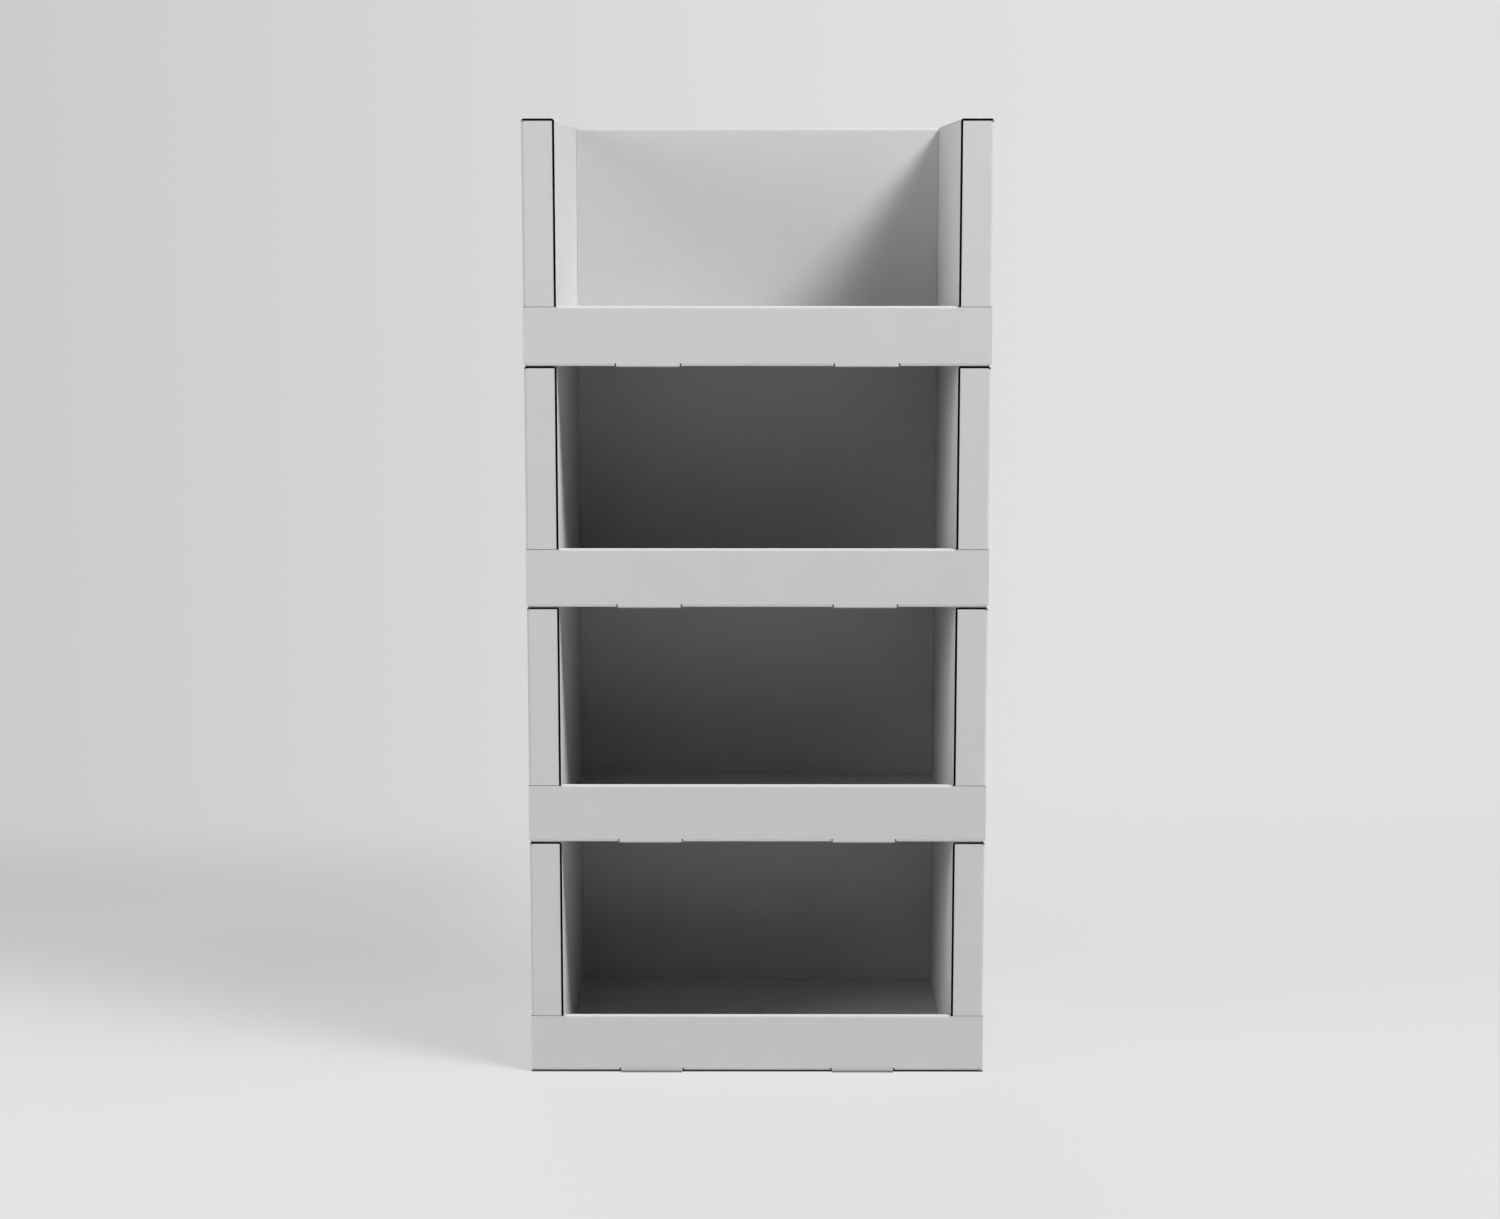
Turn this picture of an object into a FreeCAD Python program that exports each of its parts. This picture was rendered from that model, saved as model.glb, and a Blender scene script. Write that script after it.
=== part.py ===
import FreeCAD, Part
import os
import re

# Floor display stand: four alike trays of white-lined corrugated board, stacked on one another.
# Each tray is folded from one die-cut blank: a base, a low rolled-over front lip, a high rolled-over
# back wall, and a hollow column down each side that carries the tray above on its flat ledge.
# Millimetres. The origin is on the floor under the middle of the stand, with X to the right,
# Y towards the back and Z up. A tray is drawn with the underside of its base at Z = 0.

SIZES = {
    "tray_width": 400,         # across the front panel
    "tray_depth": 285,         # from the front panel to the back panel, outside
    "tray_height": 208.15,     # from the underside of one tray to the underside of the next
    "board": 1.8,              # thickness of the corrugated board
    "fold_inner": 0.6,         # inside radius of every fold
    "side_inset": 0.4,         # how far the sides stand in from the ends of the front panel
    "column_width": 28.2,      # across a hollow side column, outside
    "lip_height": 50.9,        # from the underside to the top of the front lip
    "rim_flat": 0.2,           # flat stretch between the two folds of a rolled-over rim
    "strip_gap": 0.4,          # between the front panel's cut edge and the column front above it
    "lap_gap": 0.2,            # between two layers of board that lie against each other
    "foot_drop": 0.9,          # how far the feet reach below the base
    "foot_clearance": 0.3,     # between a back foot and the rim of the tray below
    "tab_width": 54.5,         # a foot, and the locking tab behind it
    "tab_offset": 93.5,        # from the middle of the tray to the middle of a foot
    "notch_width": 1.2,        # relief cut at each end of a foot
    "slot_clearance": 0.2,     # round a locking tab in its slot
    "side_tab_width": 50,      # a locking tab under an inner side panel
    "side_tab_spacing": 140,   # between the two locking tabs of one side
    "flap_clearance": 2,       # between the end of a glue flap and the inner side panel
}
TRAY_NAMES = ("bottom_tray", "second_tray", "third_tray", "top_tray")

# Lengths worked out from the sizes, as formulas in the sheet's own words
FOLD = "(board + fold_inner)"                            # outside radius of a fold
RIM = f"(2 * {FOLD} + rim_flat)"                         # thickness of a rolled-over wall
HALF_WIDTH = "(tray_width / 2)"
HALF_DEPTH = "(tray_depth / 2)"
SIDE = "(tray_width / 2 - side_inset)"                   # outer face of a side, from the middle
COLUMN_FACE = f"({SIDE} - column_width)"                 # face of a column towards the goods
RIM_END = f"({COLUMN_FACE} - lap_gap)"                   # end of a rolled-over rim
BEHIND = "(board + lap_gap)"                             # depth at which a second layer starts
HOLLOW = "(column_width - board)"                        # depth of a column's hollow from its side
LEDGE_UNDERSIDE = "(tray_height - board)"
COLUMN_TOP_FOLD = f"(tray_height - {FOLD})"
LIP_CUT = "(lip_height - board / 2)"                     # a cut edge lies half a board below a fold
STRIP_BOTTOM = f"({LIP_CUT} + strip_gap)"
BACK_HEIGHT = "(tray_height - foot_drop - foot_clearance)"
SLOT_HALF = "(tab_width / 2 + notch_width)"
NOTHING = "0"

AXES = "xyz"
UNIT = (FreeCAD.Vector(1, 0, 0), FreeCAD.Vector(0, 1, 0), FreeCAD.Vector(0, 0, 1))
QUARTER_TURN = 90
QUARTERS = {(1, 1): 0, (-1, 1): 1, (-1, -1): 2, (1, -1): 3}   # which way a fold's outside points
FRONT, BACK = -1, 1
LEFT, RIGHT = -1, 1

doc = FreeCAD.newDocument("display_stand")
sheet = doc.addObject("Spreadsheet::Sheet", "sizes")
for row, (alias, size) in enumerate(SIZES.items(), start=1):
    sheet.set(f"A{row}", alias)
    sheet.set(f"B{row}", str(size))
    sheet.setAlias(f"B{row}", alias)
doc.recompute()


def bind(piece, property_name, formula):
    """Tie a property to a formula whose words are all names from the sheet."""
    piece.setExpression(property_name, re.sub("[a-z_]+", r"sizes.\g<0>", formula))


def inward(sign, outer, near, far):
    """Span between two depths, measured inwards from the outer face on one side of the middle."""
    if sign < 0:
        return f"{near} - {outer}", f"{far} - {outer}"
    return f"{outer} - {far}", f"{outer} - {near}"


def about(sign, middle, half):
    """Span of a width centred to the left or the right of the middle."""
    centre = f"{sign} * {middle}"
    return f"{centre} - {half}", f"{centre} + {half}"


def panel(name, x, y, z):
    """Flat stretch of board, or a cut through one, between two planes on each axis."""
    box = doc.addObject("Part::Box", name)
    for side, axis, (low, high) in zip(("Length", "Width", "Height"), AXES, (x, y, z)):
        bind(box, side, f"{high} - ({low})")
        bind(box, f"Placement.Base.{axis}", low)
    return box


def fold(name, along, span, **corner):
    """Quarter turn of board along one axis; each cross axis gives its centre and outward sign."""
    turn = AXES.index(along)
    first, second = (turn + 1) % 3, (turn + 2) % 3
    quarter = QUARTERS[corner[AXES[first]][1], corner[AXES[second]][1]]
    rotation = FreeCAD.Rotation(UNIT[first], UNIT[second], UNIT[turn], "ZXY")
    rotation = rotation * FreeCAD.Rotation(UNIT[2], quarter * QUARTER_TURN)
    rounds = []
    for layer, radius in (("outside", FOLD), ("inside", "fold_inner")):
        round_bar = doc.addObject("Part::Cylinder", f"{name}_{layer}")
        round_bar.Angle = QUARTER_TURN
        round_bar.Placement = FreeCAD.Placement(FreeCAD.Vector(), rotation)
        bind(round_bar, "Radius", radius)
        bind(round_bar, "Height", f"{span[1]} - ({span[0]})")
        bind(round_bar, f"Placement.Base.{along}", span[0])
        for axis, (centre, _) in corner.items():
            bind(round_bar, f"Placement.Base.{axis}", centre)
        rounds.append(round_bar)
    bend = doc.addObject("Part::Cut", name)
    bend.Base, bend.Tool = rounds
    return bend


def corner_of(sign, outer, depth):
    """Centre of a fold at a depth in from an outer face, with its outside towards that face."""
    return f"{sign} * ({outer} - {depth})", sign


def base():
    """Base panel with the slots that take the locking tabs of the walls and the columns."""
    middle = f"({SIDE} - {FOLD})"
    end = f"({HALF_DEPTH} - {FOLD})"
    floor = panel("base_floor", (f"-{middle}", middle), (f"-{end}", end), (NOTHING, "board"))
    through = ("-board", "2 * board")
    slots = []
    for side in (LEFT, RIGHT):
        for wall in (FRONT, BACK):
            wide = about(side, "tab_offset", SLOT_HALF)
            deep = inward(wall, HALF_DEPTH, NOTHING, f"({RIM} + slot_clearance)")
            slots.append(panel("wall_slot", wide, deep, through))
            wide = inward(side, SIDE, f"({HOLLOW} - slot_clearance)", "(column_width + slot_clearance)")
            deep = about(wall, "side_tab_spacing / 2", "(side_tab_width / 2 + slot_clearance)")
            slots.append(panel("column_slot", wide, deep, through))
    cuts = doc.addObject("Part::MultiFuse", "base_slots")
    cuts.Shapes = slots
    slotted = doc.addObject("Part::Cut", "base")
    slotted.Base, slotted.Tool = floor, cuts
    return [slotted]


def rolled_wall(name, wall, height):
    """Front or back wall: an outer panel, a rim folded over twice and an inner panel with tabs."""
    outer = inward(wall, HALF_DEPTH, NOTHING, "board")
    inner = inward(wall, HALF_DEPTH, f"({RIM} - board)", RIM)
    rim_flat = inward(wall, HALF_DEPTH, FOLD, f"({RIM} - {FOLD})")
    rim_span = (f"-{RIM_END}", RIM_END)
    crease_end = f"({SIDE} - {FOLD})"
    foot_gap = f"(tab_offset - {SLOT_HALF})"
    top_fold = f"({height} - {FOLD})"
    cut_top = f"({height} - board / 2)"
    base_crease = {"y": corner_of(wall, HALF_DEPTH, FOLD), "z": (FOLD, -1)}
    inner_top = corner_of(wall, HALF_DEPTH, f"({RIM} - {FOLD})")[0], -wall
    pieces = [
        panel(f"{name}_panel", (f"-{HALF_WIDTH}", HALF_WIDTH), outer, (FOLD, top_fold)),
        fold(f"{name}_crease", "x", (f"-{foot_gap}", foot_gap), **base_crease),
        fold(f"{name}_rim_outer_fold", "x", rim_span, y=corner_of(wall, HALF_DEPTH, FOLD), z=(top_fold, 1)),
        panel(f"{name}_rim", rim_span, rim_flat, (f"{height} - board", height)),
        fold(f"{name}_rim_inner_fold", "x", rim_span, y=inner_top, z=(top_fold, 1)),
        panel(f"{name}_inner_panel", rim_span, inner, (BEHIND, top_fold)),
    ]
    for side in (LEFT, RIGHT):
        crease = inward(side, crease_end, NOTHING, f"({crease_end} - tab_offset - {SLOT_HALF})")
        tab = about(side, "tab_offset", "tab_width / 2")
        corner = inward(side, HALF_WIDTH, NOTHING, f"({HALF_WIDTH} - {crease_end} - lap_gap)")
        shoulder = inward(side, HALF_WIDTH, NOTHING, f"({HALF_WIDTH} - {COLUMN_FACE})")
        pieces += [
            fold(f"{name}_crease_end", "x", crease, **base_crease),
            panel(f"{name}_foot", tab, outer, ("-foot_drop", FOLD)),
            panel(f"{name}_tab", tab, inner, ("lap_gap", BEHIND)),
            panel(f"{name}_corner", corner, outer, ("board / 2", FOLD)),
            panel(f"{name}_shoulder", shoulder, outer, (top_fold, cut_top)),
        ]
    return pieces


def column(name, side):
    """Hollow side column: outer panel, ledge and inner panel, with the flaps that close its ends."""
    panel_end = f"({HALF_DEPTH} - {BEHIND} - {FOLD})"
    ledge_end = f"{HALF_DEPTH} - {BEHIND}"
    whole = (f"-{panel_end}", panel_end)
    ledge_span = (f"-{HALF_DEPTH}", ledge_end)
    outer = inward(side, SIDE, NOTHING, "board")
    inner = inward(side, SIDE, HOLLOW, "column_width")
    ledge = inward(side, SIDE, FOLD, f"(column_width - {FOLD})")
    strip = inward(side, SIDE, FOLD, f"({HOLLOW} - lap_gap)")
    flap = inward(side, SIDE, FOLD, f"({HOLLOW} - flap_clearance)")
    x_outer = corner_of(side, SIDE, FOLD)
    x_inner = corner_of(side, SIDE, f"(column_width - {FOLD})")[0], -side
    tall = (STRIP_BOTTOM, COLUMN_TOP_FOLD)
    fold_end = f"({COLUMN_TOP_FOLD} - lap_gap)"
    flap_foot = f"({FOLD} + lap_gap)"
    pieces = [
        fold(f"{name}_base_crease", "y", whole, x=x_outer, z=(FOLD, -1)),
        panel(f"{name}_outer_panel", outer, whole, (FOLD, COLUMN_TOP_FOLD)),
        panel(f"{name}_outer_front", outer, inward(FRONT, HALF_DEPTH, FOLD, f"({BEHIND} + {FOLD})"), tall),
        fold(f"{name}_outer_top_fold", "y", ledge_span, x=x_outer, z=(COLUMN_TOP_FOLD, 1)),
        panel(f"{name}_ledge", ledge, ledge_span, (LEDGE_UNDERSIDE, "tray_height")),
        fold(f"{name}_inner_top_fold", "y", ledge_span, x=x_inner, z=(COLUMN_TOP_FOLD, 1)),
        panel(f"{name}_inner_panel", inner, (f"-({ledge_end})", ledge_end), (BEHIND, COLUMN_TOP_FOLD)),
        panel(f"{name}_inner_front", inner, inward(FRONT, HALF_DEPTH, NOTHING, BEHIND), tall),
        fold(f"{name}_strip_fold", "z", (STRIP_BOTTOM, fold_end), x=x_outer,
             y=corner_of(FRONT, HALF_DEPTH, FOLD)),
        panel(f"{name}_strip", strip, inward(FRONT, HALF_DEPTH, NOTHING, "board"),
              (STRIP_BOTTOM, f"{LEDGE_UNDERSIDE} - lap_gap")),
    ]
    flap_tops = {FRONT: (f"{LIP_CUT} - lap_gap",) * 2, BACK: (fold_end, f"{LEDGE_UNDERSIDE} - lap_gap")}
    for wall, (bend_top, flap_top) in flap_tops.items():
        behind = inward(wall, HALF_DEPTH, BEHIND, f"({BEHIND} + board)")
        bend = corner_of(wall, HALF_DEPTH, f"({BEHIND} + {FOLD})")
        tab = about(wall, "side_tab_spacing / 2", "side_tab_width / 2")
        pieces += [
            fold(f"{name}_glue_fold", "z", (flap_foot, bend_top), x=x_outer, y=bend),
            panel(f"{name}_glue_flap", flap, behind, (flap_foot, flap_top)),
            panel(f"{name}_tab", inner, tab, ("lap_gap", BEHIND)),
        ]
    return pieces


def stack(blank):
    """One tray on top of the other, each standing on the ledges of the tray below."""
    trays = []
    for level, name in enumerate(TRAY_NAMES):
        tray = doc.addObject("Part::Refine", name)
        tray.Source = blank
        tray.Label = name
        bind(tray, "Placement.Base.z", f"foot_drop + {level} * tray_height")
        trays.append(tray)
    return trays


folded_tray = doc.addObject("Part::MultiFuse", "folded_tray")
folded_tray.Shapes = (
    base()
    + rolled_wall("lip", FRONT, "lip_height")
    + rolled_wall("back", BACK, BACK_HEIGHT)
    + column("left", LEFT)
    + column("right", RIGHT)
)
trays = stack(folded_tray)
doc.recompute()

for piece in doc.Objects:
    if "Invalid" in piece.State or "Error" in piece.State:
        raise RuntimeError(f"{piece.Label} could not be built: {piece.State}")
for tray in trays:
    if tray.Shape.isNull() or not tray.Shape.isValid() or len(tray.Shape.Solids) != 1:
        raise RuntimeError(f"{tray.Label} is not one valid solid")

os.makedirs("parts", exist_ok=True)
for tray in trays:
    tray.Shape.exportStep(f"parts/{tray.Label}.step")
    box = tray.Shape.BoundBox
    print(f"{tray.Label}: {tray.Shape.Volume / 1000:.1f} cm3, z {box.ZMin:.2f} to {box.ZMax:.2f}")
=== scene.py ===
import math

import bmesh
import bpy
from mathutils import Matrix, Vector


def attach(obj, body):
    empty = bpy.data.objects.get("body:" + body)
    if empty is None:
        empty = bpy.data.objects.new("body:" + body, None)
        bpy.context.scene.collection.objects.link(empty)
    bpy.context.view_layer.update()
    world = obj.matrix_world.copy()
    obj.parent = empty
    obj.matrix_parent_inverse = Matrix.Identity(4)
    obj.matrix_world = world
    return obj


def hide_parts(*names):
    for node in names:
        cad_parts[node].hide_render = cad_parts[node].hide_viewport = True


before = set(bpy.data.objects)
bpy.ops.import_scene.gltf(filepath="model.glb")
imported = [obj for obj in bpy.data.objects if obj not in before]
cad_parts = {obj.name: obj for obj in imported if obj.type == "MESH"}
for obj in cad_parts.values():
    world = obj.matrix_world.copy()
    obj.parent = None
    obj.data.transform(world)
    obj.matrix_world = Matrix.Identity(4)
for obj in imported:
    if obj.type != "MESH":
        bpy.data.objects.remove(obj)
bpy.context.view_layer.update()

# Floor display stand: four alike trays of white-lined corrugated board, standing on one another.
# Each tray is drawn as a flat die-cut blank, in millimetres with its outside down, then scored,
# folded up and given the thickness of the board. U runs across the blank, V from front to back.

MM = 0.001
BOARD = 1.8                     # thickness of the board
BEND = 2.4                      # outside radius of a fold
SCORES = 8                      # strips that a fold is rounded in
TURN = math.radians(90) / SCORES
STRIP = 2 * BEND * math.sin(TURN / 2)
ARC = SCORES * STRIP            # width of a fold on the flat blank

HALF_WIDTH = 200.0
HALF_DEPTH = 142.5
SIDE = 199.6                    # outside of a side column
COLUMN = 28.2                   # across a side column
FACE = SIDE - COLUMN            # inside face of a column
HEIGHT = 208.15                 # from one tray to the next
FOOT_DROP = 0.9                 # how far the feet reach below the base
LIP_TOP = 50.9                  # height of the lip above the underside of the base
BACK_DROP = 0.3                 # from the back rim up to the foot of the tray above
BACK_TOP = HEIGHT - FOOT_DROP - BACK_DROP
LAP = 0.2                       # gap between layers that lie against each other
BEHIND = BOARD + LAP
RIM_FLAT = 0.2                  # flat strip between the two folds of a rim
RIM_END = FACE - LAP            # where a rim ends beside a column
STRIP_FOOT = 50.4               # lowest edge of the column fronts
FLAP_GAP = 2.0                  # from a glue flap to the inner side panel
FOOT = (66.25, 120.75)          # a foot, from the middle line
NOTCH = (65.05, 121.95)         # the gap in the crease round a foot
SIDE_TAB = (45.0, 95.0)         # a locking tab of a column, from the middle of the depth
CLEARANCE = 0.2                 # of a slot round its tab

BASE_U = SIDE - BEND            # the flat of the base ends here and its creases begin
BASE_V = HALF_DEPTH - BEND

ON_LINE = 0.001                 # points this close lie on the same line
SLIVER = 0.002                  # an overlap smaller than this is none
STRAIGHT = 0.001                # edges that turn less than this, in radians, run on straight
WELD = 0.01                     # points this close are joined

TRAYS = ("bottom_tray", "second_tray", "third_tray", "top_tray")


# The blank

def raised(height):
    """Distance on the flat blank from the base crease to a height on an outer panel."""
    return ARC + height - BEND


def wall_panels(top):
    """Panels of a front or back wall as (name, U range, range beyond the base crease)."""
    panel_top = raised(top - BEND)
    rim = panel_top + ARC
    inner_fold = rim + RIM_FLAT
    inner = inner_fold + ARC
    inner_foot = inner + top - BEND - BEHIND
    tab_end = inner_foot + BEHIND - LAP
    return [
        ("crease", (0, NOTCH[0]), (0, ARC)),
        ("crease", (NOTCH[1], BASE_U), (0, ARC)),
        ("foot", FOOT, (raised(-FOOT_DROP), ARC)),
        ("foot", (BASE_U + LAP, HALF_WIDTH), (raised(BOARD / 2), ARC)),
        ("panel", (0, HALF_WIDTH), (ARC, panel_top)),
        ("panel", (FACE, HALF_WIDTH), (panel_top, panel_top + BEND - BOARD / 2)),
        ("outer_fold", (0, RIM_END), (panel_top, rim)),
        ("rim", (0, RIM_END), (rim, inner_fold)),
        ("inner_fold", (0, RIM_END), (inner_fold, inner)),
        ("inner", (0, RIM_END), (inner, inner_foot)),
        ("inner", FOOT, (inner_foot, tab_end)),
    ]


def side_panels():
    """Panels of a side column as (name, range beyond the base crease, V range)."""
    panel_top = raised(HEIGHT - BEND)
    ledge = panel_top + ARC
    inner_fold = ledge + COLUMN - 2 * BEND
    inner = inner_fold + ARC
    inner_foot = inner + HEIGHT - BEND - BEHIND
    strip_inner_foot = inner_foot - (STRIP_FOOT - BEHIND)
    panel_end = HALF_DEPTH - BEHIND - BEND
    ledge_end = HALF_DEPTH - BEHIND
    strip_fold = BASE_V + ARC
    glue_fold = panel_end + ARC
    strip_end = strip_fold + COLUMN - BOARD - LAP - BEND
    flap_end = glue_fold + COLUMN - BOARD - FLAP_GAP - BEND
    fold_top = raised(HEIGHT - BEND - LAP)
    flap_top = raised(HEIGHT - BOARD - LAP)
    strip_foot = raised(STRIP_FOOT)
    flap_foot = raised(BEND + LAP)
    front_flap_top = raised(LIP_TOP - BOARD / 2 - LAP)
    return [
        ("crease", (0, ARC), (-panel_end, panel_end)),
        ("outer", (ARC, panel_top), (-panel_end, panel_end)),
        ("outer", (strip_foot, panel_top), (-BASE_V, -panel_end)),
        ("top_outer_fold", (panel_top, ledge), (-HALF_DEPTH, ledge_end)),
        ("ledge", (ledge, inner_fold), (-HALF_DEPTH, ledge_end)),
        ("top_inner_fold", (inner_fold, inner), (-HALF_DEPTH, ledge_end)),
        ("inner", (inner, inner_foot), (-ledge_end, ledge_end)),
        ("inner", (inner, strip_inner_foot), (-HALF_DEPTH, -ledge_end)),
        ("inner", (inner_foot, inner_foot + BEHIND - LAP), (-SIDE_TAB[1], -SIDE_TAB[0])),
        ("inner", (inner_foot, inner_foot + BEHIND - LAP), SIDE_TAB),
        ("strip_fold", (strip_foot, fold_top), (-strip_fold, -BASE_V)),
        ("strip", (strip_foot, flap_top), (-strip_end, -strip_fold)),
        ("front_glue_fold", (flap_foot, front_flap_top), (-glue_fold, -panel_end)),
        ("front_glue_flap", (flap_foot, front_flap_top), (-flap_end, -glue_fold)),
        ("back_glue_fold", (flap_foot, fold_top), (panel_end, glue_fold)),
        ("back_glue_flap", (flap_foot, flap_top), (glue_fold, flap_end)),
    ]


def blank_layout():
    """Every panel of the right half of the blank: {name: [(U low, U high, V low, V high), ...]}."""
    layout = {"base": [(0, BASE_U, -BASE_V, BASE_V)]}
    for wall, sign, top in (("lip", -1, LIP_TOP), ("back", 1, BACK_TOP)):
        for name, across, beyond in wall_panels(top):
            v = sorted(sign * (BASE_V + edge) for edge in beyond)
            layout.setdefault(f"{wall}_{name}", []).append((*across, *v))
    for name, beyond, v in side_panels():
        layout.setdefault(f"side_{name}", []).append((BASE_U + beyond[0], BASE_U + beyond[1], *v))
    return layout


def base_slots():
    """Slots in the right half of the base for the locking tabs of the walls and the column."""
    slots = []
    for sign in (-1, 1):
        wall = sorted(sign * v for v in (BASE_V, HALF_DEPTH - 2 * BEND - RIM_FLAT - CLEARANCE))
        slots.append((*NOTCH, *wall))
        side = sorted(sign * v for v in (SIDE_TAB[0] - CLEARANCE, SIDE_TAB[1] + CLEARANCE))
        slots.append((FACE - CLEARANCE, FACE + BOARD + CLEARANCE, *side))
    return slots


def within(face, area):
    """Whether the middle of a face of the flat blank lies in an area."""
    middle = face.calc_center_bounds()
    return area[0] < middle.x < area[1] and area[2] < middle.y < area[3]


def overlaps(face, area):
    """Whether a face of the flat blank reaches into an area."""
    us = [corner.co.x for corner in face.verts]
    vs = [corner.co.y for corner in face.verts]
    return (min(us) < area[1] - SLIVER and max(us) > area[0] + SLIVER
            and min(vs) < area[3] - SLIVER and max(vs) > area[2] + SLIVER)


def faces_in(bm, areas):
    """Faces of the flat blank that lie in any of some areas."""
    return [face for face in bm.faces if any(within(face, area) for area in areas)]


def unique(parts):
    """The parts without repeats, in the same order in every run."""
    return list(dict.fromkeys(parts))


def knife(bm, faces, axis, place):
    """Cut some faces of the blank along one line across an axis."""
    edges = unique(edge for face in faces for edge in face.edges)
    corners = unique(corner for face in faces for corner in face.verts)
    point, normal = Vector((0, 0, 0)), Vector((0, 0, 0))
    point[axis], normal[axis] = place, 1
    bmesh.ops.bisect_plane(bm, geom=[*faces, *edges, *corners], dist=ON_LINE,
                           plane_co=point, plane_no=normal)


def cut_out(bm, area):
    """Cut round an area of the blank."""
    for axis, place in ((0, area[0]), (0, area[1]), (1, area[2]), (1, area[3])):
        knife(bm, [face for face in bm.faces if overlaps(face, area)], axis, place)


def score_lines(area, axis, sign):
    """Lines of a fold across its area, from the line next to the base outwards."""
    start = area[2 * axis] if sign > 0 else area[2 * axis + 1]
    return [start + sign * STRIP * step for step in range(SCORES + 1)]


FOLDS = (
    # band that is bent, axis across it, direction outwards, panels that go round with it
    ("lip_inner_fold", 1, -1, ("lip_inner",)),
    ("lip_outer_fold", 1, -1, ("lip_rim", "lip_inner_fold", "lip_inner")),
    ("lip_crease", 1, -1, ("lip_foot", "lip_panel", "lip_outer_fold", "lip_rim", "lip_inner_fold",
                           "lip_inner")),
    ("back_inner_fold", 1, 1, ("back_inner",)),
    ("back_outer_fold", 1, 1, ("back_rim", "back_inner_fold", "back_inner")),
    ("back_crease", 1, 1, ("back_foot", "back_panel", "back_outer_fold", "back_rim",
                           "back_inner_fold", "back_inner")),
    ("side_strip_fold", 1, -1, ("side_strip",)),
    ("side_front_glue_fold", 1, -1, ("side_front_glue_flap",)),
    ("side_back_glue_fold", 1, 1, ("side_back_glue_flap",)),
    ("side_top_inner_fold", 0, 1, ("side_inner",)),
    ("side_top_outer_fold", 0, 1, ("side_ledge", "side_top_inner_fold", "side_inner")),
    ("side_crease", 0, 1, ("side_outer", "side_strip_fold", "side_strip", "side_front_glue_fold",
                           "side_front_glue_flap", "side_back_glue_fold", "side_back_glue_flap",
                           "side_top_outer_fold", "side_ledge", "side_top_inner_fold",
                           "side_inner")),
)


CREASES = (
    # bands marked as one crease, axis across it, share of scuffing and painted shade (below 0: of
    # painted light)
    (("lip_outer_fold", "lip_rim", "lip_inner_fold"), 1, 1.0),
    (("back_outer_fold", "back_rim", "back_inner_fold"), 1, 1.0),
    (("lip_crease",), 1, -0.85),
    (("back_crease",), 1, -0.2),
    (("side_strip_fold",), 1, 0.2),
    (("side_crease",), 0, -0.2),
    (("side_top_outer_fold",), 0, 0.6),
    (("side_top_inner_fold",), 0, 1.0),
)
CREASE_MARK_EDGE = ARC / 3             # over this width from its edges, the mark of a crease sets in


def cut_blank(bm):
    """Right half of the flat blank, with each panel's corners listed by the panel's name."""
    layout = blank_layout()
    areas = [area for group in layout.values() for area in group]
    reach_u = max(area[1] for area in areas)
    reach_v = max(abs(v) for area in areas for v in area[2:])
    bmesh.ops.create_grid(bm, x_segments=1, y_segments=1, size=1.0)
    bmesh.ops.scale(bm, vec=(reach_u / 2, reach_v, 1), verts=bm.verts)
    bmesh.ops.translate(bm, vec=(reach_u / 2, 0, 0), verts=bm.verts)
    knife(bm, list(bm.faces), 0, BASE_U + ARC)
    for place in (-BASE_V, BASE_V):
        inner = [face for face in bm.faces if face.calc_center_bounds().x < BASE_U + ARC]
        knife(bm, inner, 1, place)
    slots = base_slots()
    for area in (*areas, *slots):
        cut_out(bm, area)
    board = set(faces_in(bm, areas)) - set(faces_in(bm, slots))
    waste = [face for face in bm.faces if face not in board]
    bmesh.ops.delete(bm, geom=waste, context="FACES")
    for band, axis, sign, _ in FOLDS:
        for area in layout[band]:
            for line in score_lines(area, axis, sign)[1:-1]:
                knife(bm, faces_in(bm, [area]), axis, line)
    spare = [corner for corner in bm.verts
             if len(corner.link_edges) == 2 and corner.calc_edge_angle(1) < STRAIGHT]
    bmesh.ops.dissolve_verts(bm, verts=spare)
    bmesh.ops.reverse_faces(bm, faces=bm.faces)
    corners = {}
    for name, group in layout.items():
        corners[name] = {corner for face in faces_in(bm, group) for corner in face.verts}
    return layout, corners


def fold_up(bm, layout, corners):
    """Turn every fold of the half blank by a right angle, the outermost ones first."""
    flat = {corner: corner.co.copy() for corner in bm.verts}
    for band, axis, sign, carried in FOLDS:
        lines = score_lines(layout[band][0], axis, sign)
        outwards = Vector((0, 0, 0))
        outwards[axis] = sign
        hinge = outwards.cross(Vector((0, 0, 1)))
        rigid = set().union(*(corners[name] for name in carried))
        for step in range(SCORES, -1, -1):
            angle = TURN / 2 if step in (0, SCORES) else TURN
            turned = list(rigid | {corner for corner in corners[band]
                                   if sign * (flat[corner][axis] - lines[step]) > ON_LINE})
            centre = Vector((0, 0, 0))
            centre[axis] = lines[step]
            bmesh.ops.rotate(bm, verts=turned, cent=centre, matrix=Matrix.Rotation(angle, 3, hinge))


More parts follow.
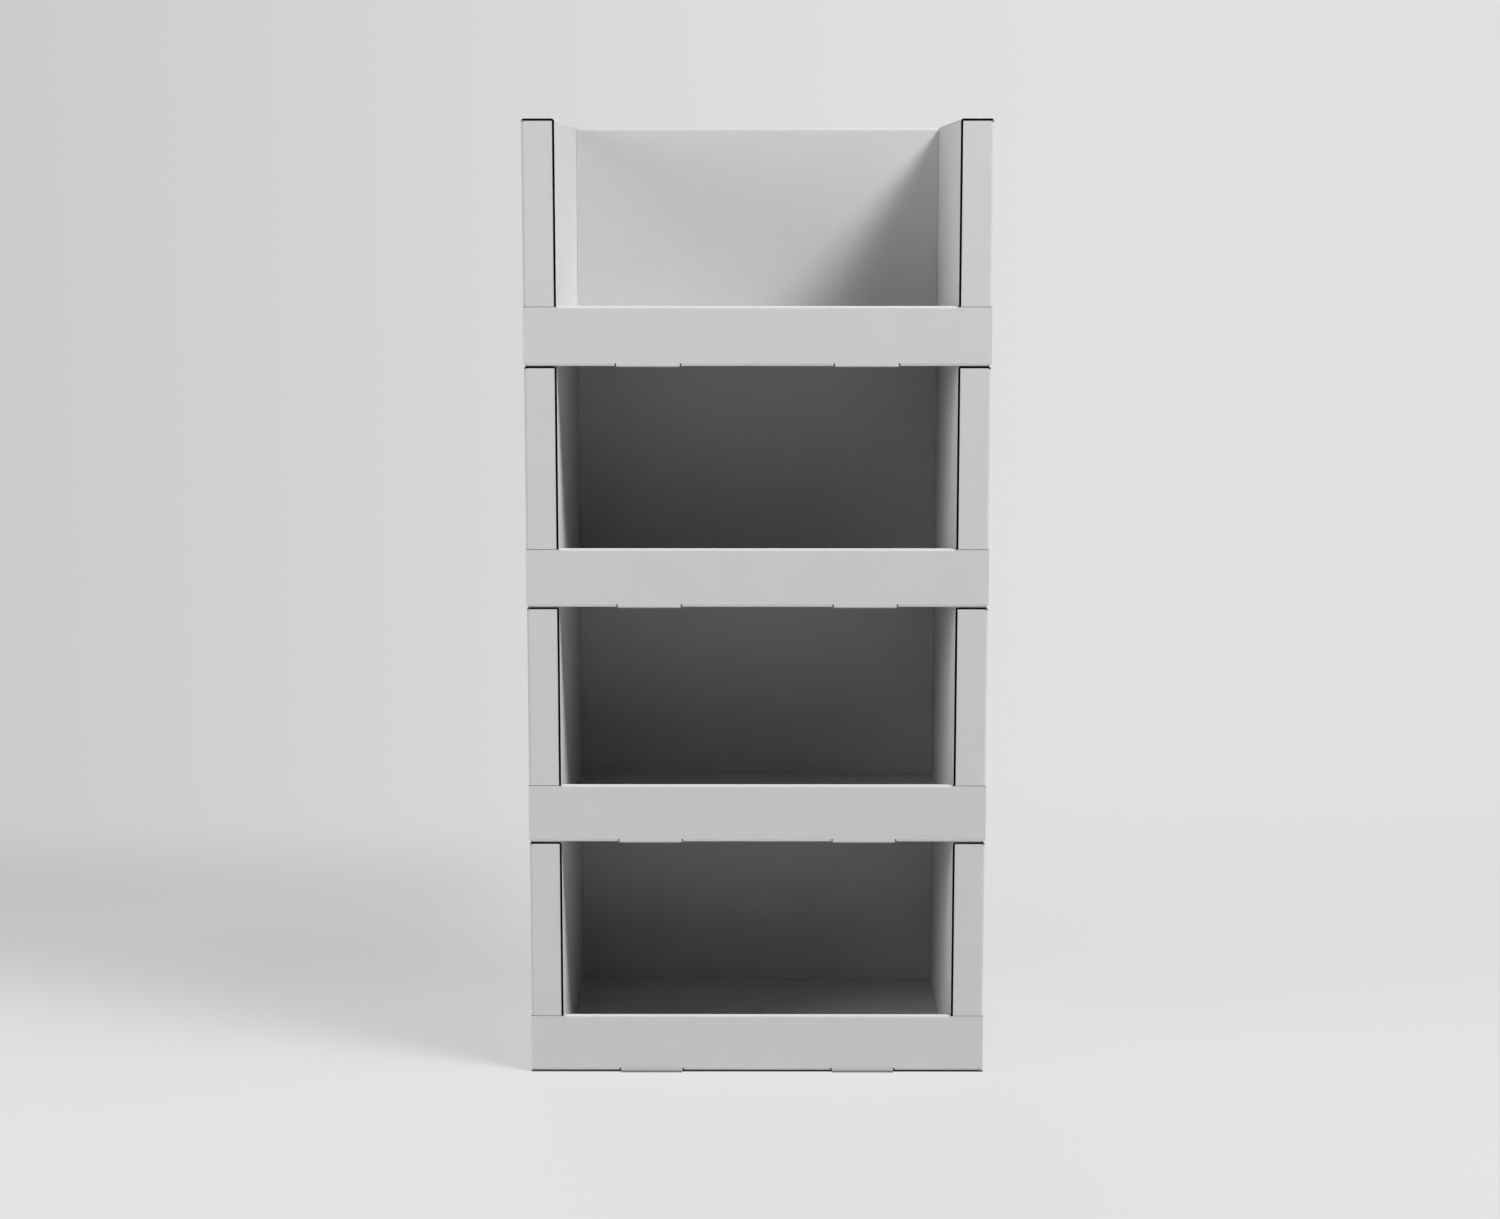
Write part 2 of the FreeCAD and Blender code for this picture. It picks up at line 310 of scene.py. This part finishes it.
def mark_blank(bm, layout):
    """Keep each corner's place on the flat blank, in metres, and the marks for its colour.

    The first number marks the creases, above 0 for scuffing and painted shade, below 0 for painted
    light; the second marks the feet's tips for painted shade.
    """
    blank = bm.loops.layers.uv.new("blank")
    crease = bm.loops.layers.uv.new("crease")
    for face in bm.faces:
        for loop in face.loops:
            loop[blank].uv = (loop.vert.co.x * MM, loop.vert.co.y * MM)
    for bands, axis, share in CREASES:
        areas = [area for band in bands for area in layout[band]]
        low = min(area[2 * axis] for area in areas)
        high = max(area[2 * axis + 1] for area in areas)
        for face in faces_in(bm, areas):
            for loop in face.loops:
                place = loop.vert.co[axis]
                ramp = min(1, (place - low) / CREASE_MARK_EDGE, (high - place) / CREASE_MARK_EDGE)
                loop[crease].uv.x = share * ramp
    # the feet's tips, marked for their painted shade
    for band, sign in (("lip_foot", -1), ("back_foot", 1)):
        for face in faces_in(bm, layout[band]):
            for loop in face.loops:
                beyond = sign * loop.vert.co.y - BASE_V
                loop[crease].uv.y = (ARC - beyond) / (ARC - raised(-FOOT_DROP))


def folded_sheet():
    """The outside of one whole tray as a sheet without thickness."""
    bm = bmesh.new()
    layout, corners = cut_blank(bm)
    mark_blank(bm, layout)
    fold_up(bm, layout, corners)
    other = bmesh.ops.duplicate(bm, geom=[*bm.verts, *bm.edges, *bm.faces])["geom"]
    other_corners = [part for part in other if isinstance(part, bmesh.types.BMVert)]
    other_faces = [part for part in other if isinstance(part, bmesh.types.BMFace)]
    bmesh.ops.scale(bm, vec=(-1, 1, 1), verts=other_corners)
    bmesh.ops.reverse_faces(bm, faces=other_faces)
    blank = bm.loops.layers.uv["blank"]
    for face in other_faces:
        for loop in face.loops:
            loop[blank].uv.x *= -1
    bmesh.ops.remove_doubles(bm, verts=bm.verts, dist=WELD)
    return bm


LINER, CUT_LINER, CORE = range(3)    # material slots of a tray


def give_thickness(sheet):
    """The sheet as board, with its raw edges in the slot of the cut liner."""
    flat_mesh = bpy.data.meshes.new("folded_sheet")
    sheet.to_mesh(flat_mesh)
    sheet.free()
    for _ in (LINER, CUT_LINER):
        flat_mesh.materials.append(None)
    thick = bpy.data.objects.new("folded_sheet", flat_mesh)
    bpy.context.scene.collection.objects.link(thick)
    wall = thick.modifiers.new("board", "SOLIDIFY")
    wall.thickness = BOARD
    wall.offset = -1
    wall.use_even_offset = True
    wall.use_quality_normals = True
    wall.material_offset_rim = CUT_LINER
    bpy.context.view_layer.update()
    shape = thick.evaluated_get(bpy.context.evaluated_depsgraph_get())
    bm = bmesh.new()
    bm.from_mesh(bpy.data.meshes.new_from_object(shape))
    bpy.data.objects.remove(thick)
    return bm


LINER_EDGE = 0.18               # thickness of a liner where it shows at a raw edge
CORE_DEPTH = 0.6                # how deep the raw edges are open between the liners
CORE_TAPER = 0.01               # the opening is narrower at its bottom, on each side
CRUSHED_REACH = 1.0             # of the crushed edges round a column's top corner
CRUSHED_FROM = math.radians(50)     # turn of a ledge's fold from which its raw edge is crushed
FLUTE_PITCH = 3.3
FLUTE_WAVE = 0.5                # half the height of the waves
FLUTE_PAPER = 0.2
FLUTE_STEPS = 8                 # straight pieces that a wave is made of
FLUTE_RIBBON = (0.32, 0.46)     # depth of the middle of the waves behind the raw edge, and width
FLUTE_MARGIN = 1.0              # of a panel's height, left without a wave


def open_edges(bm):
    """Sink the core of every raw edge between its two liners."""
    raw = [face for face in bm.faces if face.material_index == CUT_LINER]
    bmesh.ops.inset_region(bm, faces=raw, use_boundary=True, use_even_offset=True,
                           thickness=LINER_EDGE, depth=0)
    sides = bmesh.ops.inset_region(bm, faces=raw, use_boundary=True, use_even_offset=True,
                                   thickness=CORE_TAPER, depth=-CORE_DEPTH)["faces"]
    for face in (*raw, *sides):
        face.material_index = CORE


def crush_corners(bm):
    """Give the liner's look to the raw edges that folding a ledge down to its column crushes."""
    fold_middle = max(corner.co.z for corner in bm.verts) - BEND
    for face in bm.faces:
        place = face.calc_center_median()
        out, up = abs(place.x) - (SIDE - BEND), place.z - fold_middle
        turned = up > 0 and math.hypot(out, up) < BEND and math.atan2(out, up) > CRUSHED_FROM
        at_front = place.y < CRUSHED_REACH / 2 - BASE_V
        below = at_front and -CRUSHED_REACH < out and -CRUSHED_REACH < up < LAP
        if turned or below:
            face.material_index = LINER


def flute_end(bm, u, wall, low, high):
    """The wavy medium that shows in the upright raw edge at one end of a front or back panel."""
    waves = int((high - low - FLUTE_MARGIN) / FLUTE_PITCH)
    made = bmesh.ops.create_grid(bm, x_segments=FLUTE_STEPS * waves, y_segments=1, size=0.5)["verts"]
    span = waves * FLUTE_PITCH
    inwards = -1 if u > 0 else 1
    middle, width = FLUTE_RIBBON
    for corner in made:
        along, across = corner.co.x + 0.5, corner.co.y
        swing = FLUTE_WAVE * math.sin(along * waves * math.tau)
        corner.co = (u + inwards * (middle + across * width),
                     wall * (HALF_DEPTH - BOARD / 2) + swing,
                     (low + high - span) / 2 + along * span)
    faces = unique(face for corner in made for face in corner.link_faces)
    bmesh.ops.recalc_face_normals(bm, faces=faces)
    solid = bmesh.ops.solidify(bm, geom=faces, thickness=FLUTE_PAPER)["geom"]
    corners = [part for part in solid if isinstance(part, bmesh.types.BMVert)]
    skin = unique((*faces, *(face for corner in corners for face in corner.link_faces)))
    bmesh.ops.recalc_face_normals(bm, faces=skin)
    for face in skin:
        face.material_index = CUT_LINER


ROUND_TURNS = (math.radians(8), math.radians(31))    # between strips of one round


def shade(bm):
    """Smooth the rounds of the folds and leave every other edge crisp."""
    for face in bm.faces:
        face.smooth = True
    for edge in bm.edges:
        angle = edge.calc_face_angle(0) if len(edge.link_faces) == 2 else math.pi
        edge.smooth = ROUND_TURNS[0] < angle < ROUND_TURNS[1]


ORDER_STEP = 10000.0            # more than a tray has corners


def face_order(face):
    """Number to sort a face by, from three of its corners, which no other face has together."""
    lowest = sorted(corner.index for corner in face.verts)[:3]
    return (lowest[0] * ORDER_STEP + lowest[1]) * ORDER_STEP + lowest[2]


def tray_board():
    """One finished tray in millimetres, with the underside of its base at height 0.

    Its faces are sorted, so that every run writes the same mesh.
    """
    bm = give_thickness(folded_sheet())
    open_edges(bm)
    crush_corners(bm)
    for u in (-HALF_WIDTH, HALF_WIDTH):
        for wall, top in ((-1, LIP_TOP), (1, BACK_TOP)):
            flute_end(bm, u, wall, BOARD / 2, top - BOARD / 2)
    bm.verts.index_update()
    bm.faces.sort(key=face_order)
    shade(bm)
    return bm


# Materials

LINER_TONES = (0.554, 0.566)    # share of light that the paper sends back, in its faint clouds
NOISE_SPAN = (0.3, 0.7)         # most of a noise's values lie in it
FLECK_COLOUR = (0.43, 0.42, 0.40, 1)
FLECK_SPAN = (0.34, 0.28)       # fibres lower than this show as flecks
FLECK_STRENGTH = 0.30
SCUFF_AND_SHADE_TONE = 0.455               # liner on a crease: partly scuffing, partly painted shade that damps the rims' highlight
SCUFF_AND_SHADE_SPAN = (0.35, 0.65)        # of the crumples' noise, from least to full scuffing and painted shade
LEAST_SCUFF_AND_SHADE = 0.45
CREASE_LIGHT_TONE = 0.88           # painted light on the creases of the base, lifting their shaded undersides
# painted contact shade on the tips of the feet, where they stand on the floor or on a ledge
FOOT_SHADE_COLOUR = (0.15, 0.13, 0.115, 1)
FOOT_SHADE_FROM = 0.55                # share of a foot's height above its tip with painted shade
FOOT_SHADE_STRENGTH = 0.85
FIBRE_SQUEEZE = (1.0, 0.22, 1.0)    # draws the fibres out from front to back
FLUTE_GHOST = 0.35              # relief of the flutes through the liner, where the fibres' is 1
FOLD_GHOST = 2.0                # relief of the crumples on a crease
LINER_ROUGHNESS = (0.78, 0.95)
# raw edges near black: the board's dark brown deepened by painted shade of the open flutes; the sunk
# core is painted shade
CUT_EDGE_AND_SHADE_COLOURS = ((0.010, 0.006, 0.004, 1), (0.032, 0.020, 0.014, 1))
FLUTE_SHADE_COLOURS = ((0.005, 0.003, 0.002, 1), (0.016, 0.010, 0.007, 1))


def grey(value):
    return (value, value, value, 1)


class Nodes:
    """Small helper that adds nodes to a tree and joins them up."""

    def __init__(self, name):
        self.material = bpy.data.materials.new(name)
        self.material.use_nodes = True
        self.tree = self.material.node_tree
        self.tree.nodes.clear()

    @classmethod
    def of(cls, tree):
        """Start afresh on a tree that exists already, such as the world's."""
        made = cls.__new__(cls)
        made.tree = tree
        tree.nodes.clear()
        return made

    def add(self, kind, settings=None, **sockets):
        """Add a node: i0, i1 and so on are its inputs by number, other words by name."""
        node = self.tree.nodes.new(kind)
        for key, value in (settings or {}).items():
            setattr(node, key, value)
        for key, value in sockets.items():
            numbered = key[0] == "i" and key[1:].isdigit()
            socket = node.inputs[int(key[1:]) if numbered else key.replace("_", " ")]
            if isinstance(value, bpy.types.NodeSocket):
                self.tree.links.new(value, socket)
            else:
                socket.default_value = value
        return node

    def noise(self, vector, scale, detail, roughness):
        return self.add("ShaderNodeTexNoise", Vector=vector, Scale=scale, Detail=detail,
                        Roughness=roughness).outputs["Fac"]

    def arithmetic(self, operation, *values):
        inputs = {f"i{index}": value for index, value in enumerate(values)}
        return self.add("ShaderNodeMath", {"operation": operation}, **inputs).outputs[0]

    def remap(self, value, low, high, start=0.0, end=1.0, curve="LINEAR"):
        """Follow a value from start to end while it goes from low to high."""
        return self.add("ShaderNodeMapRange", {"interpolation_type": curve}, Value=value, i1=low,
                        i2=high, i3=start, i4=end).outputs[0]

    def ease(self, value, low, high, start=0.0, end=1.0):
        return self.remap(value, low, high, start, end, "SMOOTHSTEP")

    def blend(self, share, first, second):
        """Mix two colours."""
        return self.add("ShaderNodeMix", {"data_type": "RGBA"}, Factor=share, i6=first,
                        i7=second).outputs[2]

    def finish(self, shader):
        out = self.add("ShaderNodeOutputMaterial")
        self.tree.links.new(shader, out.inputs["Surface"])
        return self.material


def liner_colour(n, fibre, cloud, crumple, bent, tip):
    """Colour of the liner: clouds and flecks, creases with scuffing and painted shade, creases of
    the base with painted light, painted shade at the feet's tips.
    """
    paper = n.blend(n.remap(cloud, *NOISE_SPAN), *(grey(tone) for tone in LINER_TONES))
    flecks = n.remap(fibre, *FLECK_SPAN, 0.0, FLECK_STRENGTH)
    flecked = n.blend(flecks, paper, FLECK_COLOUR)
    # painted shade on the creases, broken up by the crumples like scuffing; it damps the highlight
    # of the rounded rims
    scuff_and_shade = n.arithmetic("MULTIPLY", bent, n.remap(crumple, *SCUFF_AND_SHADE_SPAN, LEAST_SCUFF_AND_SHADE, 1.0))
    scuffed_and_shaded = n.blend(scuff_and_shade, flecked, grey(SCUFF_AND_SHADE_TONE))
    # painted light: the creases of the base are lighter where they turn down into shade
    with_crease_light = n.blend(n.remap(bent, 0.0, -1.0), scuffed_and_shaded, grey(CREASE_LIGHT_TONE))
    # painted shade on the feet's tips
    return n.blend(n.remap(tip, FOOT_SHADE_FROM, 1.0, 0.0, FOOT_SHADE_STRENGTH), with_crease_light, FOOT_SHADE_COLOUR)


def board_liner():
    """White bleached liner: short paper fibres, faint clouds, ghosts of the flutes, folds with
    scuffing, painted shade and painted light.
    """
    n = Nodes("white_board_liner")
    sheet = n.add("ShaderNodeUVMap", {"uv_map": "blank"}).outputs["UV"]
    crease = n.add("ShaderNodeUVMap", {"uv_map": "crease"}).outputs["UV"]
    marks = n.add("ShaderNodeSeparateXYZ", Vector=crease)
    bent, tip = marks.outputs["X"], marks.outputs["Y"]
    stretched = n.add("ShaderNodeMapping", Vector=sheet, Scale=FIBRE_SQUEEZE).outputs[0]
    fibre = n.noise(stretched, scale=1900.0, detail=4.0, roughness=0.65)
    cloud = n.noise(sheet, scale=26.0, detail=3.0, roughness=0.5)
    crumple = n.noise(sheet, scale=650.0, detail=3.0, roughness=0.6)
    across = n.add("ShaderNodeSeparateXYZ", Vector=sheet).outputs["Y"]
    phase = n.arithmetic("MULTIPLY", across, math.tau / (FLUTE_PITCH * MM))
    flutes = n.arithmetic("SINE", phase)
    folds = n.arithmetic("MULTIPLY", bent, crumple)
    paper_relief = n.arithmetic("MULTIPLY_ADD", flutes, FLUTE_GHOST, fibre)
    relief = n.arithmetic("MULTIPLY_ADD", folds, FOLD_GHOST, paper_relief)
    bump = n.add("ShaderNodeBump", Strength=0.6, Distance=0.03 * MM, Height=relief)
    shader = n.add("ShaderNodeBsdfPrincipled",
                   Base_Color=liner_colour(n, fibre, cloud, crumple, bent, tip),
                   Roughness=n.remap(fibre, *NOISE_SPAN, *LINER_ROUGHNESS),
                   Normal=bump.outputs[0])
    shader.inputs["Specular IOR Level"].default_value = 0.12
    return n.finish(shader.outputs[0])


def raw_edge(name, dark, light):
    """Cut paper of the liners, or the unbleached medium between them, near black: their brown
    deepened by painted shade of the open edge.
    """
    n = Nodes(name)
    place = n.add("ShaderNodeTexCoord").outputs["Object"]
    grain = n.noise(place, scale=1600.0, detail=3.0, roughness=0.7)
    bump = n.add("ShaderNodeBump", Strength=0.8, Distance=0.1 * MM, Height=grain)
    shader = n.add("ShaderNodeBsdfPrincipled", Base_Color=n.blend(grain, dark, light),
                   Normal=bump.outputs[0])
    shader.inputs["Roughness"].default_value = 0.9
    shader.inputs["Specular IOR Level"].default_value = 0.02
    return n.finish(shader.outputs[0])


# Studio, in metres

FLOOR_HALF = 14.0
FLOOR_TONE = 0.5                # share of light that the floor sends back
CONTACT_TONE = 0.12             # the same in the painted contact shadow along the stand
FRONT_TONE = 0.785              # in which the floor shines by itself in front
FLOOR_GLOW = 0.62               # how much of its look comes from that shine there
BACKDROP_TONES = (0.57, 0.75)   # at the left and at the right, the left darker with painted shade
BACKDROP_SIDES = (-0.42, 0.15)  # directions between which the tone changes
TONE_CENTRE = (0, -2.45, 0)     # place from which those directions are counted
FRONT_TO_BACK = (-0.25, 0.75)   # depths between which the floor turns into the backdrop
SHADOW_TO_EVEN = (-0.2, 1.1)    # depths between which the shadow fades out
NEAR_TO_FAR = (1.3, 5.0)        # distances between which both happen all round
DIP = 0.08                      # painted shadow: a soft dark band on the floor behind the stand, at the left
DIP_SIDES = (-0.15, -0.4)       # places across between which it sets in
DIP_FRONT = (0.0, 0.32)         # depths between which it starts
DIP_BACK = (0.45, 0.85)         # and between which it ends
CONTACT = 0.0007                # width of the painted contact shadow where the stand meets the floor
FOOT_CONTACT = 0.0044           # and in front of a foot, which stands on it
CONTACT_CORE = 0.45             # share of that width that is darkest
AIM = Vector((0, 0, 0.45))      # where the soft boxes point
SUNS = (
    # name, then in degrees azimuth from the front to the right, height and width, then strength
    ("wide_key", 66, 56, 26, 2.1),
    ("top_fill", -30, 65, 40, 0.36),
    ("low_fill", -60, 15, 40, 0.64),
    ("back_fill", -165, 20, 40, 0.8),
)
SOFT_BOXES = (
    # name, place, width of the disc, power
    ("near_key", (1.30, -0.90, 2.30), 0.70, 44.5),
    ("left_fill", (-1.55, -0.85, 0.95), 0.95, 10.5),
)
LENS = 65.17                    # in millimetres, on a sensor 36 mm wide
CAMERA_PLACE = (-0.0001, -2.4660, 0.7682)
CAMERA_DIP = math.radians(8.641)
CAMERA_LEAN = math.radians(0.154)


def backdrop_tone(n, way):
    """Tone of the backdrop in a direction: painted shade makes it darker towards the left, away from
    the lights.
    """
    side = n.add("ShaderNodeSeparateXYZ", Vector=way).outputs["X"]
    return n.ease(side, *BACKDROP_SIDES, *BACKDROP_TONES)


def contact_line(n, across, depth):
    """How far a place on the floor is outside the stand's footprint, and the width of the painted
    contact shadow there.
    """
    from_middle = n.arithmetic("ABSOLUTE", across)
    beside = n.arithmetic("SUBTRACT", from_middle, HALF_WIDTH * MM)
    before = n.arithmetic("SUBTRACT", n.arithmetic("ABSOLUTE", depth), HALF_DEPTH * MM)
    gap = n.arithmetic("MAXIMUM", beside, before)
    foot_middle, foot_half = (FOOT[0] + FOOT[1]) / 2 * MM, (FOOT[1] - FOOT[0]) / 2 * MM
    at_foot = n.arithmetic("COMPARE", from_middle, foot_middle, foot_half)
    width = n.arithmetic("MULTIPLY_ADD", at_foot, FOOT_CONTACT - CONTACT, CONTACT)
    return gap, width


def floor_glow(n, place, across, depth, away):
    """Tone in which the floor shines by itself: pale in front, the backdrop's own behind, with a
    painted shadow band behind the stand at the left.
    """
    spread = n.add("ShaderNodeVectorMath", {"operation": "SUBTRACT"}, i0=place,
                   i1=TONE_CENTRE).outputs[0]
    way = n.add("ShaderNodeVectorMath", {"operation": "NORMALIZE"}, i0=spread).outputs[0]
    behind = n.arithmetic("MAXIMUM", n.ease(depth, *FRONT_TO_BACK), away)
    clear = n.add("ShaderNodeMix", {"data_type": "FLOAT"}, i0=behind, i2=FRONT_TONE,
                  i3=backdrop_tone(n, way)).outputs[0]
    # painted shadow band, deepening the stand's shadow at the left
    left = n.ease(across, *DIP_SIDES)
    front_of_dip = n.ease(depth, *DIP_FRONT, 0.0, left)
    dip = n.ease(depth, *DIP_BACK, front_of_dip, 0.0)
    return n.arithmetic("MULTIPLY_ADD", dip, -DIP, clear)


def backdrop():
    """Pale floor that takes the stand's shadow, with a painted contact shadow and a painted shadow
    band, and turns into the backdrop far away.
    """
    n = Nodes("studio_floor")
    place = n.add("ShaderNodeTexCoord").outputs["Object"]
    apart = n.add("ShaderNodeSeparateXYZ", Vector=place)
    across, depth = apart.outputs["X"], apart.outputs["Y"]
    distance = n.add("ShaderNodeVectorMath", {"operation": "LENGTH"}, i0=place).outputs["Value"]
    away = n.ease(distance, *NEAR_TO_FAR)
    tone = floor_glow(n, place, across, depth, away)
    even = n.arithmetic("MAXIMUM", n.ease(depth, *SHADOW_TO_EVEN), away)
    share = n.remap(even, 0.0, 1.0, FLOOR_GLOW, 1.0)
    gap, line = contact_line(n, across, depth)
    line_core = n.arithmetic("MULTIPLY", line, CONTACT_CORE)
    open_floor = n.ease(gap, line_core, line, 0.0, share)
    # painted contact shadow: the floor's own tone drops along the stand
    tone_lit = n.ease(gap, line_core, line, CONTACT_TONE, FLOOR_TONE)
    seen = n.add("ShaderNodeLightPath").outputs["Is Camera Ray"]
    lit = n.add("ShaderNodeBsdfPrincipled", Base_Color=tone_lit)
    lit.inputs["Roughness"].default_value = 0.9
    lit.inputs["Specular IOR Level"].default_value = 0.2
    glow = n.add("ShaderNodeEmission", Color=tone, Strength=1.0)
    both = n.add("ShaderNodeMixShader", i0=n.arithmetic("MULTIPLY", open_floor, seen),
                 i1=lit.outputs[0], i2=glow.outputs[0])
    return n.finish(both.outputs[0])


def hang(name, lamp):
    """Put a light into the scene without showing its own shape."""
    holder = bpy.data.objects.new(name, lamp)
    holder.visible_camera = False
    bpy.context.scene.collection.objects.link(holder)
    return holder


def sun(name, azimuth, height, width, strength):
    """A soft light far away, shining towards the stand."""
    lamp = bpy.data.lights.new(name, "SUN")
    lamp.energy = strength
    lamp.angle = math.radians(width)
    hang(name, lamp).rotation_euler = (math.radians(90 - height), 0, math.radians(azimuth))


def soft_box(name, place, width, power):
    """A round soft box near the stand."""
    lamp = bpy.data.lights.new(name, "AREA")
    lamp.shape = "DISK"
    lamp.size = width
    lamp.energy = power
    holder = hang(name, lamp)
    holder.location = place
    holder.rotation_euler = (AIM - Vector(place)).to_track_quat("-Z", "Y").to_euler()


def studio():
    """Pale floor, and a few soft lights round the stand."""
    bm = bmesh.new()
    bmesh.ops.create_grid(bm, x_segments=1, y_segments=1, size=FLOOR_HALF)
    mesh = bpy.data.meshes.new("studio_floor")
    bm.to_mesh(mesh)
    bm.free()
    mesh.materials.append(backdrop())
    floor = bpy.data.objects.new("studio_floor", mesh)
    bpy.context.scene.collection.objects.link(floor)
    for light in SUNS:
        sun(*light)
    for light in SOFT_BOXES:
        soft_box(*light)


def sky():
    """The backdrop's tone beyond the floor, which gives the stand no light."""
    world = bpy.data.worlds.new("studio_sky")
    bpy.context.scene.world = world
    world.use_nodes = True
    n = Nodes.of(world.node_tree)
    way = n.add("ShaderNodeTexCoord").outputs["Generated"]
    unlit = n.add("ShaderNodeBackground", Strength=0.0)
    seen = n.add("ShaderNodeBackground", Color=backdrop_tone(n, way), Strength=1.0)
    path = n.add("ShaderNodeLightPath").outputs["Is Camera Ray"]
    both = n.add("ShaderNodeMixShader", i0=path, i1=unlit.outputs[0], i2=seen.outputs[0])
    out = n.add("ShaderNodeOutputWorld")
    n.tree.links.new(both.outputs[0], out.inputs["Surface"])


def camera():
    """Camera in front of the stand, a little below its top and looking slightly down."""
    lens = bpy.data.cameras.new("camera")
    lens.sensor_fit = "HORIZONTAL"
    lens.sensor_width = 36
    lens.lens = LENS
    lens.clip_start, lens.clip_end = 0.05, 60
    view = bpy.data.objects.new("camera", lens)
    view.location = CAMERA_PLACE
    view.rotation_euler = (math.radians(90) - CAMERA_DIP, 0, CAMERA_LEAN)
    bpy.context.scene.collection.objects.link(view)
    bpy.context.scene.camera = view


SHEET_STEP = 1.37               # from one tray's paper to the next, so that no two look alike


def trays():
    """The four trays, each in place of the CAD solid that it dresses."""
    board = tray_board()
    finishes = (board_liner(),
                raw_edge("cut_edge_painted_shade", *CUT_EDGE_AND_SHADE_COLOURS),
                raw_edge("fluted_core_painted_shade", *FLUTE_SHADE_COLOURS))
    for level, node in enumerate(TRAYS):
        bm = board.copy()
        blank = bm.loops.layers.uv["blank"]
        for face in bm.faces:
            for loop in face.loops:
                loop[blank].uv.x += SHEET_STEP * level
        bmesh.ops.translate(bm, vec=(0, 0, FOOT_DROP + level * HEIGHT), verts=bm.verts)
        bmesh.ops.scale(bm, vec=(MM, MM, MM), verts=bm.verts)
        mesh = bpy.data.meshes.new(f"{node}_board")
        bm.to_mesh(mesh)
        bm.free()
        for finish in finishes:
            mesh.materials.append(finish)
        tray = bpy.data.objects.new(f"{node}_board", mesh)
        bpy.context.scene.collection.objects.link(tray)
        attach(tray, "root")
        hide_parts(node)
    board.free()


camera()
studio()
sky()
trays()
bpy.context.scene.view_settings.view_transform = "Standard"
